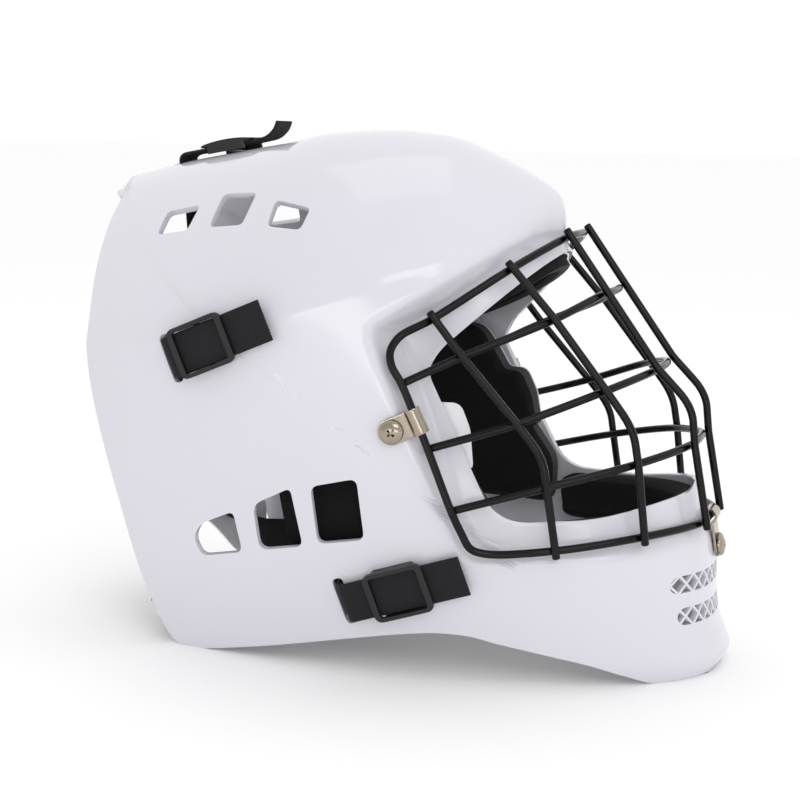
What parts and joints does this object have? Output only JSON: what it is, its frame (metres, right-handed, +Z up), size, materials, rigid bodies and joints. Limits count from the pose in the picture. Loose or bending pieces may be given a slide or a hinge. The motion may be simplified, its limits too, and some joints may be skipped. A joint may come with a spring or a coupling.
{
  "type": "goalie mask",
  "caption": "Goalkeeper mask: one-piece vented shell, wire cage on clips, foam pads and a rear plate held by elastic straps with sliders.",
  "frame": {"origin": "centre of the mask's bounding box, on the surface it stands on", "axes": "+X the way the wearer faces, +Y the wearer's left, +Z up"},
  "size_m": [0.3219, 0.2172, 0.2617],
  "materials": {
    "gloss_white": "gloss white moulded plastic",
    "black_wire": "gloss black coated steel wire",
    "nickel": "bright nickel plate",
    "foam": "matt black closed-cell foam",
    "webbing": "black woven elastic",
    "black_plastic": "satin black plastic"
  },
  "bodies": {
    "mask": {"shell": "gloss_white", "cage_frame": "black_wire", "cage_row_upper": "black_wire", "cage_row_middle": "black_wire", "cage_row_lower": "black_wire", "cage_upright_outer_left": "black_wire", "cage_upright_outer_right": "black_wire", "cage_upright_middle_left": "black_wire", "cage_upright_middle_right": "black_wire", "cage_upright_centre_left": "black_wire", "cage_upright_centre_right": "black_wire", "cage_clip_side_left": "nickel", "clip_screw_side_left": "nickel", "clip_nut_side_left": "nickel", "cage_clip_side_right": "nickel", "clip_screw_side_right": "nickel", "clip_nut_side_right": "nickel", "cage_clip_chin": "nickel", "clip_screw_chin": "nickel", "clip_nut_chin": "nickel", "side_pad_board_left": "gloss_white", "side_pad_left": "foam", "side_pad_board_right": "gloss_white", "side_pad_right": "foam", "chin_pad": "foam", "forehead_pad": "foam", "crown_pad": "foam", "crown_strap": "webbing", "upper_left_strap": "webbing", "upper_right_strap": "webbing", "lower_left_strap": "webbing", "lower_right_strap": "webbing"},
    "rear_plate": {"rear_plate": "gloss_white", "rear_plate_pad": "foam"},
    "crown_slider": {"crown_slider": "black_plastic"},
    "upper_left_slider": {"upper_left_slider": "black_plastic"},
    "upper_right_slider": {"upper_right_slider": "black_plastic"},
    "lower_left_slider": {"lower_left_slider": "black_plastic"},
    "lower_right_slider": {"lower_right_slider": "black_plastic"}
  },
  "joints": [
    {"name": "rear_plate_pull", "type": "slide", "parent": "mask", "child": "rear_plate", "axis": [-1, 0, 0], "range_m": [0, 0.03], "stiffness_N_per_m": 350, "springref_m": -0.01, "deforming": ["crown_strap", "upper_left_strap", "upper_right_strap", "lower_left_strap", "lower_right_strap"]},
    {"name": "crown_slider_slide", "type": "slide", "parent": "mask", "child": "crown_slider", "axis": [0.9818, 0, 0.1898], "range_m": [-0.008, 0.004]},
    {"name": "upper_left_slider_slide", "type": "slide", "parent": "mask", "child": "upper_left_slider", "axis": [0.9187, 0.0435, 0.3925], "range_m": [-0.001, 0.012]},
    {"name": "upper_right_slider_slide", "type": "slide", "parent": "mask", "child": "upper_right_slider", "axis": [0.9187, -0.0435, 0.3925], "range_m": [-0.001, 0.012]},
    {"name": "lower_left_slider_slide", "type": "slide", "parent": "mask", "child": "lower_left_slider", "axis": [0.9468, -0.0631, 0.3156], "range_m": [-0.009, 0.012]},
    {"name": "lower_right_slider_slide", "type": "slide", "parent": "mask", "child": "lower_right_slider", "axis": [0.9468, 0.0631, 0.3156], "range_m": [-0.009, 0.012]}
  ]
}
